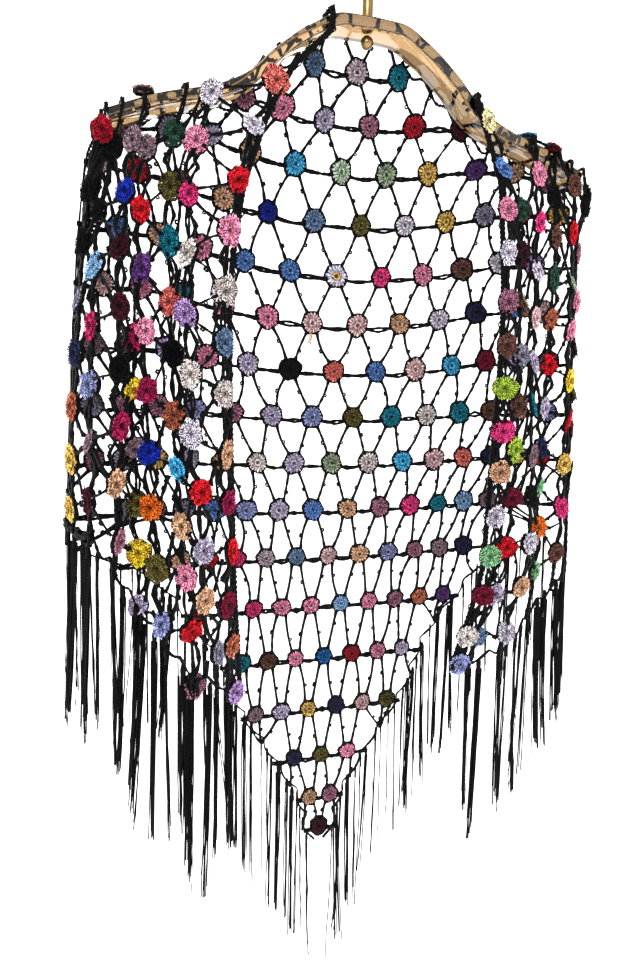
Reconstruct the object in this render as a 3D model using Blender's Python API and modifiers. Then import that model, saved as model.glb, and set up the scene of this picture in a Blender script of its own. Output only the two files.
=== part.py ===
"""A triangular crochet shawl hung over a clear bent-strip hanger with a brass hook.

The shawl is one long-edged triangle of rosette motifs in an open net. Its long edge runs round the neck
and down both fronts, its point hangs at the back, and its two short sides carry a knotted fringe.
Metres, +Z up, +X to the wearer's left as seen from the front, +Y to the back.
The origin is the inside of the hook, where it hangs on a rail.
"""

import math
import random

import bmesh
import bpy
import numpy as np
from mathutils import Matrix, Vector
from mathutils.geometry import delaunay_2d_cdt

# Hanger: a flat acrylic strip bent to the shoulders, with a brass hook through its middle
HOOK_TO_ARM = 0.095
ARM_HALF_SPAN = 0.215
ARM_THICKNESS = 0.0093
ARM_DEPTH = 0.0305
ARM_EDGE_ROUND = 0.0012
ARM_SECTIONS = 52
ARM_DROP = (  # share of the half span, drop below the middle
    (0.00, 0.0000),
    (0.12, 0.0011),
    (0.25, 0.0144),
    (0.38, 0.0357),
    (0.50, 0.0600),
    (0.62, 0.0725),
    (0.80, 0.0835),
    (1.00, 0.1011),
)
HOOK_WIRE = 0.0024
HOOK_BEND = 0.021
COLLAR_RADIUS = 0.0050
COLLAR_HEIGHT = 0.024
NUT_RADIUS = 0.0055

# Net cloth
WALL = 0.0014
SEAM = 0.0003
ROSETTE_RAISE = 0.0034
ROSETTE_SIDES = 6
TOP_POINTS = {"left": 23, "right": 14}  # points along the strip's top, to follow its bends
FILL_CLEAR = 0.0085  # cloth between rosettes gets a point only this far from them
OVER_ARM = 0.0155  # from the seam on top of the strip to its edge
TURN = 0.0180  # from that seam to where the cloth hangs free
SWING = 0.055  # drop below the strip in which the cloth swings out to its own line
CLEAR = 0.0022  # middle of the cloth above the strip
EDGE_DIP = 0.0022  # drop of the cloth as it turns over the strip's edge
FACE_CLEAR = ARM_DEPTH / 2 + CLEAR + WALL * 0.4  # middle of the cloth beside the strip

# Drape, by depth below the top of the strip's middle
SIDE_LINE = (  # depth, distance out, distance back, of the outermost fold
    (0.10, 0.217, 0.004),
    (0.15, 0.227, 0.010),
    (0.20, 0.233, 0.014),
    (0.30, 0.240, 0.020),
    (0.45, 0.247, 0.027),
)
BACK_LINE = (  # depth, distance back, of the middle of the back
    (0.000, 0.0185),
    (0.031, 0.0260),
    (0.069, 0.0420),
    (0.106, 0.0540),
    (0.149, 0.0600),
    (0.250, 0.0620),
    (0.400, 0.0630),
    (0.550, 0.0720),
    (0.770, 0.0780),
)
BACK_HALF = 0.2475  # half the flat width of the back at its fullest
BACK_HEM = (  # depth, half the flat width
    (0.445, 0.2475),
    (0.465, 0.2020),
    (0.490, 0.1620),
    (0.524, 0.1360),
    (0.565, 0.1060),
    (0.615, 0.0880),
    (0.660, 0.0600),
    (0.700, 0.0360),
    (0.723, 0.0240),
    (0.757, 0.0155),
    (0.772, 0.0100),
)
NECK_REACH = (-0.040, 0.095)  # where the long edge crosses the strip, left and right
FRONT_FLAT = 0.200
FRONT_BULGE = {"left": 0.020, "right": -0.012}
FRONT_EDGE = {  # depth, distance out, distance forward, of each front's inner edge
    "left": (
        (0.000, 0.040, 0.018),
        (0.016, 0.042, 0.020),
        (0.034, 0.057, 0.021),
        (0.051, 0.073, 0.022),
        (0.088, 0.093, 0.024),
        (0.120, 0.106, 0.029),
        (0.159, 0.118, 0.033),
        (0.250, 0.127, 0.037),
        (0.450, 0.124, 0.039),
        (0.560, 0.116, 0.030),
    ),
    "right": (
        (0.000, 0.095, 0.018),
        (0.055, 0.100, 0.020),
        (0.077, 0.110, 0.023),
        (0.106, 0.117, 0.028),
        (0.135, 0.119, 0.032),
        (0.250, 0.121, 0.036),
        (0.450, 0.119, 0.038),
        (0.560, 0.094, 0.032),
    ),
}
FRONT_HEM = {  # share of the way out from the inner edge, depth
    "left": ((0.0, 0.562), (0.2, 0.527), (0.35, 0.495), (0.6, 0.437), (1.0, 0.415)),
    "right": ((0.0, 0.560), (0.28, 0.537), (0.5, 0.505), (0.75, 0.465), (1.0, 0.440)),
}
FOLDS = {"left": (2.1, 0.0120), "right": (2.1, 0.0070)}  # how many, how deep
FOLD_START = 0.02  # drop below the strip where the folds begin
FOLD_FULL = 0.19
FOLD_DRIFT = 0.12  # of one fold, to and fro down the cloth
FOLD_DRIFT_RATE = 9
FOLD_LEAN = 0.35

# Motifs
ROW_DEPTH = (  # row from the top, depth at the middle of the back
    (0, 0.031),
    (2, 0.106),
    (4, 0.199),
    (10, 0.468),
    (15, 0.723),
    (16, 0.757),
)
ROW_COUNTS = (31, 30, 27, 26, 23, 22, 19, 18, 15, 14, 11, 10, 7, 6, 3, 2, 1)
ROW_PITCH = (  # row from the top, distance between rosettes at the middle
    (0, 0.0440),
    (2, 0.0500),
    (4, 0.0480),
    (6, 0.0445),
    (8, 0.0385),
    (10, 0.0325),
    (12, 0.0297),
    (14, 0.0285),
    (15, 0.0215),
)
PITCH_LOSS = 0.055  # share that the pitch loses with each rosette from the middle
LEAST_PITCH = 0.0255
ROW_RISE = (  # depth, how fast a row rises to each side, per metre
    (0.00, 0.90),
    (0.25, 0.85),
    (0.30, 0.55),
    (0.35, 0.30),
    (0.50, 0.20),
)
RISE_FULL = 0.06  # hang below the strip at which a row has its full rise
RISE_FADE = (0.14, 0.10, 0.55)  # from this far out, over this width, the rise loses this share
FRONT_COLUMNS = 5
FRONT_PITCH = 0.0385
ROSETTE_RADIUS = (0.0118, 0.0098)  # upper rows, lowest rows
SMALLER_FROM = 6  # row where the rosettes begin to get smaller
SMALLER_OVER = 6
ROSETTE_CLEAR = 0.003

# Border and fringe
BAND_WIDTH = 0.0060
BAND_THICKNESS = 0.0030
BAND_LIFT = 0.0016  # middle of the band above the middle of the cloth
BACKING_HEIGHT = 0.0022
BACKING_THICKNESS = 0.0026
FRINGE_GAP = 0.0006  # between the hem and the backing
STRAND_PITCH = 0.0064
STRAND_SHARE = 0.56
STRAND_LENGTHS = {"front": (0.165, 0.145), "back": (0.140, 0.132)}  # at each end of a hem
SEED = 11


def read_off(table, at, column=1):
    """One column of a table at one place, on a smooth curve through its rows."""
    x = [row[0] for row in table]
    y = [row[column] for row in table]
    if at <= x[0]:
        return y[0]
    if at >= x[-1]:
        return y[-1]
    i = max(k for k in range(len(x) - 1) if x[k] <= at)
    rise = [(y[k + 1] - y[k]) / (x[k + 1] - x[k]) for k in range(len(x) - 1)]
    start = rise[i] if i == 0 else softer(rise[i - 1], rise[i])
    end = rise[i] if i == len(rise) - 1 else softer(rise[i], rise[i + 1])
    span = x[i + 1] - x[i]
    t = (at - x[i]) / span
    return (
        y[i] * (1 + 2 * t) * (1 - t) ** 2
        + y[i + 1] * t * t * (3 - 2 * t)
        + span * (start * t * (1 - t) ** 2 - end * t * t * (1 - t))
    )


def softer(a, b):
    """A slope between two neighbours that makes no overshoot."""
    return 0.0 if a * b <= 0 else 2 * a * b / (a + b)


def ease(t):
    t = min(max(t, 0.0), 1.0)
    return t * t * (3 - 2 * t)


def arm_drop(x):
    return read_off(ARM_DROP, min(abs(x) / ARM_HALF_SPAN, 1.0))


def leaves_arm(x, depth):
    """How far the cloth at a place has swung from the strip's face to its own free line, from 0 to 1."""
    below = depth - arm_drop(x) - ARM_THICKNESS
    return ease((below - 0.002) / SWING)


def turned_down(v):
    """How far the cloth has turned over the strip's edge, from 0 to 1."""
    return ease((v - OVER_ARM) / (TURN - OVER_ARM))


def quarter_turns(steps=240):
    """Share of a flattened quarter oval's length against its angle, to space motifs evenly round it."""
    angle = np.linspace(0, math.pi / 2, steps)
    x, y = 0.24 * np.sin(angle), 0.045 * np.cos(angle)
    length = np.concatenate([[0], np.cumsum(np.hypot(np.diff(x), np.diff(y)))])
    return angle, length / length[-1]


OVAL_ANGLE, OVAL_SHARE = quarter_turns()


def back_point(s, v):
    """Middle of the back's cloth: s across from its centre line, v down from the seam on the strip."""
    share = min(abs(s) / BACK_HALF, 1.0)
    angle = float(np.interp(share, OVAL_SHARE, OVAL_ANGLE))
    side = math.copysign(1, s)
    top_x = read_off(SIDE_LINE, 0.0) * math.sin(angle)
    hung = max(v - TURN, 0.0)
    depth = arm_drop(top_x) + hung
    out, back = read_off(SIDE_LINE, depth), read_off(SIDE_LINE, depth, 2)
    x = out * math.sin(angle)
    full = back + SEAM / 2 + (read_off(BACK_LINE, depth) - back) * math.cos(angle)
    if v <= TURN:
        y = SEAM / 2 + (FACE_CLEAR - SEAM / 2) * min(v / OVER_ARM, 1.0)
        return Vector((side * x, y, CLEAR - depth - EDGE_DIP * turned_down(v)))
    y = FACE_CLEAR + (full - FACE_CLEAR) * leaves_arm(x, depth)
    grown = ease(hung / RISE_FULL) * (1 - RISE_FADE[2] * ease((x - RISE_FADE[0]) / RISE_FADE[1]))
    return Vector((side * x, y, CLEAR - EDGE_DIP - depth + read_off(ROW_RISE, depth) * x * x * grown))


def front_plan(hand, share, depth):
    """Where a front hangs in plan: distance out and distance forward, before its folds."""
    angle = share * math.pi / 2
    out, back = read_off(SIDE_LINE, depth), read_off(SIDE_LINE, depth, 2)
    edge = read_off(FRONT_EDGE[hand], depth)
    ahead = read_off(FRONT_EDGE[hand], depth, 2)
    x = edge + (out - edge) * math.sin(angle)
    y = back - SEAM / 2 - (back + ahead) * math.cos(angle)
    return x, y - FRONT_BULGE[hand] * math.sin(math.pi * share) * ease(depth / 0.3)


def front_top(hand, share):
    """Distance out at which a column of a front leaves the strip."""
    x = 0.1
    for _ in range(25):
        x = front_plan(hand, share, arm_drop(x))[0]
    return x


def front_point(hand, s, v):
    """Middle of a front's cloth: s from its inner edge, v down from the seam on the strip."""
    share = min(max(s / FRONT_FLAT, 0.0), 1.0)
    top_x = front_top(hand, share)
    side = -1 if hand == "left" else 1
    if v <= TURN:
        y = -SEAM / 2 - (FACE_CLEAR - SEAM / 2) * min(v / OVER_ARM, 1.0)
        return Vector((side * top_x, y, CLEAR - arm_drop(top_x) - EDGE_DIP * turned_down(v)))
    hung = v - TURN
    depth = arm_drop(top_x) + hung
    x, full = front_plan(hand, share, depth)
    count, deep = FOLDS[hand]
    below = depth - arm_drop(x) - ARM_THICKNESS
    grown = ease((below - FOLD_START) / (FOLD_FULL - FOLD_START)) * (1 - share**4)
    drift = FOLD_DRIFT * math.sin(FOLD_DRIFT_RATE * depth)
    wave = deep * grown * math.sin(2 * math.pi * (count * share + drift))
    y = -FACE_CLEAR + (full + FACE_CLEAR) * leaves_arm(x, depth)
    lean = FOLD_LEAN * wave * math.cos(math.pi * share)
    return Vector((side * (x + lean), y - wave, CLEAR - EDGE_DIP - depth))


def front_hem(hand, s):
    """Depth of a front's hem at s from its inner edge."""
    return read_off(FRONT_HEM[hand], s / FRONT_FLAT)


def hem_stops():
    return [float(s) for s in np.linspace(0, FRONT_FLAT, 21)]


def back_hem_depths():
    return [float(d) for d in np.linspace(0.445, 0.772, 25)]


def start_depth(panel, s):
    """Depth at which a panel's cloth leaves the strip."""
    if panel == "back":
        angle = float(np.interp(min(abs(s) / BACK_HALF, 1.0), OVAL_SHARE, OVAL_ANGLE))
        return arm_drop(read_off(SIDE_LINE, 0.0) * math.sin(angle))
    return arm_drop(front_top(panel, min(max(s / FRONT_FLAT, 0.0), 1.0)))


def hung_point(panel, s, v):
    """Middle of a panel's cloth at v down from the seam on the strip."""
    return back_point(s, v) if panel == "back" else front_point(panel, s, v)


def level_point(panel, s, depth):
    """Middle of a panel's cloth at a depth below the strip's middle."""
    return hung_point(panel, s, depth - start_depth(panel, s) + TURN)


def back_hem_half(depth):
    return read_off(BACK_HEM, depth)


def across_back(row, n):
    """Distance of the nth rosette of a row from the back's centre line."""
    pitch = read_off(ROW_PITCH, row)
    s, left = 0.0, abs(n)
    m = 0.25 if n != int(n) else 0.5
    step = 0.5 if n != int(n) else 1.0
    while left > 1e-9:
        s += step * max(pitch * (1 - PITCH_LOSS * m), min(pitch, LEAST_PITCH))
        left -= step
        m += (step + 1) / 2
        step = 1.0
    return math.copysign(s, n)


def back_rosettes():
    """Middle and radius of each rosette on the back, as (s, depth, radius)."""
    found = []
    for row, count in enumerate(ROW_COUNTS):
        depth = read_off(ROW_DEPTH, row)
        radius = ROSETTE_RADIUS[0] + (ROSETTE_RADIUS[1] - ROSETTE_RADIUS[0]) * ease((row - SMALLER_FROM) / SMALLER_OVER)
        offset = 0.0 if count % 2 else 0.5
        for i in range(-8, 9):
            n = i + offset
            s = across_back(row, n)
            inside = abs(s) < back_hem_half(depth) - radius - 0.002
            below = depth > start_depth("back", s) + radius + ROSETTE_CLEAR
            if abs(n) <= (count - 1) / 2 and inside and below:
                found.append((s, depth, radius))
    return found


def front_rosettes(hand):
    """Middle and radius of each rosette on a front, in columns beside its inner edge."""
    found = []
    step = FRONT_FLAT / FRONT_COLUMNS
    for column in range(FRONT_COLUMNS):
        s = step * (column + 0.5)
        depth = front_hem(hand, s) - ROSETTE_RADIUS[0] - 0.006 - (column % 2) * 0.004
        while depth > start_depth(hand, s) + ROSETTE_RADIUS[0] + ROSETTE_CLEAR:
            found.append((s, depth, ROSETTE_RADIUS[0]))
            depth -= FRONT_PITCH
    return found


def ring(s, depth, radius):
    for k in range(ROSETTE_SIDES):
        angle = 2 * math.pi * k / ROSETTE_SIDES
        yield s + radius * math.sin(angle), depth + radius * math.cos(angle)


def cloth(panel, name, outline, rosettes, on_strip, fill, outward, material):
    """A net panel: a thin wall over its flat frame, with its rosettes raised on the outward side."""
    points, raised = list(outline), [0.0] * len(outline)
    for s, depth, radius in rosettes:
        points += [(s, depth), *ring(s, depth, radius)]
        raised += [ROSETTE_RAISE] + [0.0] * ROSETTE_SIDES
    clear = [
        p for p in fill if all(math.hypot(p[0] - s, p[1] - d) > r + FILL_CLEAR for s, d, r in rosettes)
    ]
    points += on_strip + clear
    raised += [0.0] * len(on_strip + clear)
    flat = [Vector((s, depth - start_depth(panel, s) + TURN)) for s, depth in points]
    verts, _, faces, origin, _, _ = delaunay_2d_cdt(flat, [], [list(range(len(outline)))], 1, 1e-6)
    step = 0.0015
    outer, inner = [], []
    mesh = bmesh.new()
    for vert, source in zip(verts, origin):
        s, v = vert
        across = hung_point(panel, s + step, v) - hung_point(panel, s - step, v)
        down = hung_point(panel, s, v + step) - hung_point(panel, s, max(v - step, 0))
        normal = across.cross(down).normalized()
        if normal.dot(outward) < 0:
            normal.negate()
        middle = hung_point(panel, s, v)
        lift = max((raised[k] for k in source), default=0.0)
        outer.append(mesh.verts.new(middle + normal * (WALL / 2 + lift)))
        inner.append(mesh.verts.new(middle - normal * (WALL / 2)))
    edges = {}
    for face in faces:
        for a, b in zip(face, face[1:] + face[:1]):
            edges[(a, b)] = True
        mesh.faces.new([outer[k] for k in face])
        mesh.faces.new([inner[k] for k in reversed(face)])
    for a, b in edges:
        if (b, a) not in edges:
            mesh.faces.new((outer[b], outer[a], inner[a], inner[b]))
    finish(name, mesh, material)


def finish(name, mesh, material):
    """Closes a bmesh into a named object with its faces pointing out."""
    bmesh.ops.recalc_face_normals(mesh, faces=mesh.faces)
    data = bpy.data.meshes.new(name)
    mesh.to_mesh(data)
    mesh.free()
    data.transform(DOWN_TO_ARM)
    data.materials.append(material)
    PARTS.objects.link(bpy.data.objects.new(name, data))


def swept(name, centres, acrosses, outs, width, thickness, material):
    """A flat band through centres, each section a rectangle set by its across and out directions."""
    mesh = bmesh.new()
    sections = []
    for centre, across, out in zip(centres, acrosses, outs):
        corners = ((-1, -1), (1, -1), (1, 1), (-1, 1))
        sections.append(
            [mesh.verts.new(centre + across * (a * width / 2) + out * (b * thickness / 2)) for a, b in corners]
        )
    for one, two in zip(sections, sections[1:]):
        for k in range(4):
            mesh.faces.new((one[k], one[(k + 1) % 4], two[(k + 1) % 4], two[k]))
    mesh.faces.new(list(reversed(sections[0])))
    mesh.faces.new(sections[-1])
    finish(name, mesh, material)


def edge_stops(hand):
    """Depths of the points down a front's inner edge, from the seam to the hem."""
    start = start_depth(hand, 0)
    on_strip = [start - TURN, start - TURN + OVER_ARM, start, start + 0.006]
    return on_strip + [float(d) for d in np.linspace(start + 0.02, front_hem(hand, 0), 30)]


def edge_band(name, hand, material):
    """The thick worked band down a front's inner edge."""
    centres, acrosses, outs = [], [], []
    for depth in edge_stops(hand):
        v = depth - start_depth(hand, 0) + TURN
        middle = front_point(hand, 0, v)
        across = (front_point(hand, 0.003, v) - middle).normalized()
        down = (front_point(hand, 0, v + 0.001) - front_point(hand, 0, max(v - 0.001, 0))).normalized()
        across = (across - down * across.dot(down)).normalized()
        out = across.cross(down)
        if out.dot(Vector((0, -1, 0.5))) < 0:
            out.negate()
        centres.append(middle - across * (BAND_WIDTH / 2 + 2 * SEAM) + out * BAND_LIFT)
        acrosses.append(across)
        outs.append(out)
    swept(name, centres, acrosses, outs, BAND_WIDTH, BAND_THICKNESS, material)


def fringe(name, path, lengths, material, seed):
    """Knotted strands hanging straight from a narrow strip that follows a hem."""
    chance = random.Random(seed)
    marks = [0.0]
    for a, b in zip(path, path[1:]):
        marks.append(marks[-1] + (b - a).length)
    count = int(marks[-1] / STRAND_PITCH)

    def at(distance):
        i = min(max(int(np.searchsorted(marks, distance)) - 1, 0), len(path) - 2)
        t = (distance - marks[i]) / (marks[i + 1] - marks[i])
        return path[i].lerp(path[i + 1], t)

    stops = []
    for k in range(count):
        start = marks[-1] * k / count
        stops.append(start)
        stops.append(start + marks[-1] / count * STRAND_SHARE)
    stops.append(marks[-1])
    mesh = bmesh.new()
    sections = []
    for distance in stops:
        here = at(distance)
        ahead = at(min(distance + 0.004, marks[-1])) - at(max(distance - 0.004, 0))
        flat = Vector((ahead.x, ahead.y, 0))
        steep = max(flat.length / ahead.length, 0.3)
        side = Vector((-flat.y, flat.x, 0)).normalized() * BACKING_THICKNESS / 2
        gap = FRINGE_GAP / steep
        top, low = here - Vector((0, 0, gap)), here - Vector((0, 0, gap + BACKING_HEIGHT / steep))
        sections.append([mesh.verts.new(p) for p in (top - side, top + side, low + side, low - side)])
    for k, (one, two) in enumerate(zip(sections, sections[1:])):
        for a, b in ((0, 1), (1, 2), (3, 0)):
            mesh.faces.new((one[a], one[b], two[b], two[a]))
        if k % 2:
            mesh.faces.new((one[2], one[3], two[3], two[2]))
            continue
        root = [one[2], one[3], two[3], two[2]]
        share = stops[k] / marks[-1]
        length = (lengths[0] + (lengths[1] - lengths[0]) * share) * chance.uniform(0.80, 1.10)
        centre = sum((p.co for p in root), Vector()) / 4
        sway = Vector((chance.uniform(-1, 1), chance.uniform(-1, 1), 0)) * 0.002
        tip = mesh.verts.new(centre + sway - Vector((0, 0, length)))
        for a, b in zip(root, root[1:] + root[:1]):
            mesh.faces.new((a, b, tip))
    mesh.faces.new(list(reversed(sections[0])))
    mesh.faces.new(sections[-1])
    finish(name, mesh, material)


def surface(name, colour, roughness, metallic=0.0, transmission=0.0):
    made = bpy.data.materials.new(name)
    made.use_nodes = True
    shader = made.node_tree.nodes["Principled BSDF"]
    shader.inputs["Base Color"].default_value = (*colour, 1)
    shader.inputs["Roughness"].default_value = roughness
    shader.inputs["Metallic"].default_value = metallic
    shader.inputs["Transmission Weight"].default_value = transmission
    return made


def back_panel():
    """Outline, rosettes, points on the strip and points between rosettes of the back, as (s, depth)."""
    half = BACK_HALF
    left, right = NECK_REACH
    seam = [float(s) for s in np.linspace(-half, left, 13)]
    neck = [float(s) for s in np.linspace(left + 0.001, right - 0.001, 10)]
    top = [(s, start_depth("back", s) - TURN) for s in seam] + [(s, start_depth("back", s)) for s in neck]
    top += [(float(s), start_depth("back", s) - TURN) for s in np.linspace(right, half, 10)]
    side = [(half, start_depth("back", half) - TURN + OVER_ARM), (half, start_depth("back", half))]
    side += [(half, float(d)) for d in np.linspace(0.125, 0.440, 17)]
    side += [(back_hem_half(d), d) for d in back_hem_depths()]
    outline = top + side + [(-s, d) for s, d in reversed(side)]
    on_strip = []
    for s in np.linspace(-half * 0.95, half * 0.95, 25):
        stops = (0.009,) if left < s < right else (OVER_ARM - TURN, 0.0, 0.009)
        on_strip += [(float(s), start_depth("back", s) + stop) for stop in stops]
    between = [
        (float(s), float(d))
        for s in np.linspace(-half * 0.96, half * 0.96, 21)
        for d in np.linspace(0.02, 0.76, 32)
        if d > start_depth("back", s) + 0.014 and abs(s) < back_hem_half(float(d)) - 0.007
    ]
    return outline, back_rosettes(), on_strip, between


def front_panel(hand):
    """Outline, rosettes, points on the strip and points between rosettes of a front, as (s, depth)."""
    columns = [float(s) for s in np.linspace(0, FRONT_FLAT, TOP_POINTS[hand])]
    top = [(s, start_depth(hand, s) - TURN) for s in columns]
    start = start_depth(hand, FRONT_FLAT)
    outer = [(FRONT_FLAT, start - TURN + OVER_ARM), (FRONT_FLAT, start)]
    outer += [(FRONT_FLAT, float(d)) for d in np.linspace(0.125, front_hem(hand, FRONT_FLAT), 17)]
    low = [(s, front_hem(hand, s)) for s in hem_stops()[::-1][1:]]
    inner = [(0.0, d) for d in reversed(edge_stops(hand)[1:-1])]
    on_strip = [
        (s, start_depth(hand, s) + stop) for s in columns[1:-1] for stop in (OVER_ARM - TURN, 0.0, 0.009)
    ]
    between = [
        (float(s), float(d))
        for s in np.linspace(0.010, FRONT_FLAT - 0.010, 13)
        for d in np.linspace(0.03, 0.55, 26)
        if start_depth(hand, s) + 0.014 < d < front_hem(hand, s) - 0.007
    ]
    return top + outer + low + inner, front_rosettes(hand), on_strip, between


def hanger_arm(material):
    """The clear strip: its bent centre surface, given its thickness and rounded edges."""
    mesh = bmesh.new()
    rows = []
    for k in range(ARM_SECTIONS + 1):
        x = ARM_HALF_SPAN * (2 * k / ARM_SECTIONS - 1)
        rows.append([mesh.verts.new((x, y, -arm_drop(x))) for y in (-ARM_DEPTH / 2, ARM_DEPTH / 2)])
    for one, two in zip(rows, rows[1:]):
        mesh.faces.new((one[0], two[0], two[1], one[1]))
    data = bpy.data.meshes.new("hanger_arm")
    mesh.to_mesh(data)
    mesh.free()
    data.transform(DOWN_TO_ARM)
    data.materials.append(material)
    arm = bpy.data.objects.new("hanger_arm", data)
    PARTS.objects.link(arm)
    solid = arm.modifiers.new("thickness", "SOLIDIFY")
    solid.thickness = ARM_THICKNESS
    solid.offset = -1
    rounded = arm.modifiers.new("edge round", "BEVEL")
    rounded.width = ARM_EDGE_ROUND
    rounded.segments = 1
    rounded.angle_limit = math.radians(50)
    rounded.limit_method = "ANGLE"


def hanger_hook(material):
    """Collar on the strip, the bent hook wire above it, and the domed nut below."""
    bpy.ops.mesh.primitive_cylinder_add(
        vertices=16,
        radius=COLLAR_RADIUS,
        depth=COLLAR_HEIGHT,
        location=(0, 0, -HOOK_TO_ARM + SEAM + COLLAR_HEIGHT / 2),
    )
    collar = bpy.context.object
    collar.name = "hook_collar"
    rounded = collar.modifiers.new("rim", "BEVEL")
    rounded.width = 0.0008
    rounded.segments = 1
    bpy.ops.mesh.primitive_uv_sphere_add(
        segments=12,
        ring_count=8,
        radius=NUT_RADIUS,
        location=(0, 0, -HOOK_TO_ARM - ARM_THICKNESS - SEAM - NUT_RADIUS),
    )
    nut = bpy.context.object
    nut.name = "hook_nut"
    wire_radius = HOOK_WIRE
    centre = Vector((0, 0, -HOOK_BEND))
    reach = HOOK_BEND + wire_radius
    foot = -HOOK_TO_ARM + SEAM * 2 + COLLAR_HEIGHT
    line = [Vector((0, 0, foot)), Vector((0, 0, foot + 0.008)), Vector((0.001, 0, centre.z - reach - 0.003))]
    for k in range(19):
        angle = math.radians(-78 + 262 * k / 18)
        line.append(centre + Vector((math.cos(angle), 0, math.sin(angle))) * reach)
    curve = bpy.data.curves.new("hook_wire", "CURVE")
    curve.dimensions = "3D"
    curve.bevel_depth = wire_radius
    curve.bevel_resolution = 2
    curve.use_fill_caps = True
    spline = curve.splines.new("POLY")
    spline.points.add(len(line) - 1)
    for point, place in zip(spline.points, line):
        point.co = (*place, 1)
    wire = bpy.data.objects.new("hook_wire", curve)
    for made in (collar, nut):
        for owner in list(made.users_collection):
            owner.objects.unlink(made)
        made.data.shade_smooth()
        made.data.set_sharp_from_angle(angle=math.radians(40))
        made.data.materials.append(material)
        PARTS.objects.link(made)
    wire.data.materials.append(material)
    PARTS.objects.link(wire)


for old in list(bpy.data.objects):
    bpy.data.objects.remove(old, do_unlink=True)
PARTS = bpy.data.collections.new("crochet shawl on hanger")
bpy.context.scene.collection.children.link(PARTS)
DOWN_TO_ARM = Matrix.Translation((0, 0, -HOOK_TO_ARM))

black_yarn = surface("black net yarn", (0.012, 0.011, 0.013), 0.85)
black_band = surface("black edge band", (0.016, 0.014, 0.016), 0.85)
black_fringe = surface("black fringe yarn", (0.010, 0.010, 0.012), 0.80)
acrylic = surface("clear acrylic", (0.93, 0.91, 0.86), 0.06, transmission=0.9)
brass = surface("polished brass", (0.80, 0.60, 0.30), 0.25, metallic=1.0)

hanger_arm(acrylic)
hanger_hook(brass)

panels = {"back": back_panel(), "left": front_panel("left"), "right": front_panel("right")}
cloth("back", "shawl_back", *panels["back"], Vector((0, 1, 0.8)), black_yarn)
for hand in ("left", "right"):
    cloth(hand, "front_" + hand, *panels[hand], Vector((0, -1, 0.8)), black_yarn)
    edge_band("edge_band_" + hand, hand, black_band)
    hem = [level_point(hand, s, front_hem(hand, s)) for s in hem_stops()[:-1]]
    fringe("fringe_front_" + hand, hem, STRAND_LENGTHS["front"], black_fringe, SEED + len(hand))
for hand, side in (("left", -1), ("right", 1)):
    hem = [level_point("back", side * back_hem_half(d), d) for d in back_hem_depths()[1:]]
    hem.append(hem[-1].lerp(level_point("back", 0, back_hem_depths()[-1]), 0.9))
    fringe("fringe_back_" + hand, hem, STRAND_LENGTHS["back"], black_fringe, SEED * 3 + len(hand))
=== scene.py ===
"""Looks for a triangular crochet shawl of many-coloured rosettes, hung over a clear strip hanger.

Metres, +Z up, +X to the wearer's left as seen from the front, +Y to the back.
The origin is the inside of the hook, where it hangs on a rail. Left and right in names are the viewer's.
"""

import math

import bpy
import numpy as np
from mathutils import Matrix, Vector


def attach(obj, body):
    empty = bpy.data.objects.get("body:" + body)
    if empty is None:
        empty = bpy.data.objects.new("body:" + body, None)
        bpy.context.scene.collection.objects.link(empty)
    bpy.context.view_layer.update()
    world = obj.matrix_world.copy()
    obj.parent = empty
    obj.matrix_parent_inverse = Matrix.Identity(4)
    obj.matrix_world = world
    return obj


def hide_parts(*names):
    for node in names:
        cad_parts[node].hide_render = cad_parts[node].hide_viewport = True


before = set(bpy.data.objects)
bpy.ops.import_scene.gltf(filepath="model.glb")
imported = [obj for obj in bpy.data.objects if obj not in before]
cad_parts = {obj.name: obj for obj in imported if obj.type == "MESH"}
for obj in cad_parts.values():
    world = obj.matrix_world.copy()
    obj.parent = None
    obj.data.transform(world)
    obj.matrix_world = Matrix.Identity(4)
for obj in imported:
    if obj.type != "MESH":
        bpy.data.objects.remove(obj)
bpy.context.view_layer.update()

# The hanger is a flat acrylic strip about 9 mm thick, heated and bent to the shoulders.
# It is clear, with flame-polished edges. Its warm tint through the thickness is partly the acrylic's own
# tone and partly painted reflection, standing in for the warm surroundings it mirrors.
HOOK_TO_STRIP = 0.095
STRIP_HALF_SPAN = 0.215
STRIP_THICKNESS = 0.0093
STRIP_DEPTH = 0.0305
STRIP_DROP = (  # share of the half span, drop below the middle
    (0.00, 0.0000),
    (0.12, 0.0011),
    (0.25, 0.0144),
    (0.38, 0.0357),
    (0.50, 0.0600),
    (0.62, 0.0725),
    (0.80, 0.0835),
    (1.00, 0.1011),
)


def read_off(table, at, column=1):
    """One column of a table at many places, on a smooth curve through its rows."""
    x = np.array([row[0] for row in table])
    y = np.array([row[column] for row in table])
    at = np.clip(at, x[0], x[-1])
    i = np.clip(np.searchsorted(x, at, side="right") - 1, 0, len(x) - 2)
    rise = np.diff(y) / np.diff(x)
    product = rise[:-1] * rise[1:]
    total = np.where(product > 0, rise[:-1] + rise[1:], 1.0)
    between = np.where(product > 0, 2 * product / total, 0.0)
    start = np.concatenate([rise[:1], between])[i]
    end = np.concatenate([between, rise[-1:]])[i]
    span = np.diff(x)[i]
    t = (at - x[i]) / span
    return (
        y[i] * (1 + 2 * t) * (1 - t) ** 2
        + y[i + 1] * t * t * (3 - 2 * t)
        + span * (start * t * (1 - t) ** 2 - end * t * t * (1 - t))
    )


def read_one(table, at):
    return float(read_off(table, np.array([at]))[0])


def strip_drop(x):
    return read_off(STRIP_DROP, np.minimum(np.abs(x) / STRIP_HALF_SPAN, 1.0))


def feed(tree, slot, value):
    """A shader slot gets a reading or a constant."""
    if isinstance(value, Reading):
        tree.links.new(value.socket, slot)
    else:
        slot.default_value = value


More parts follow.
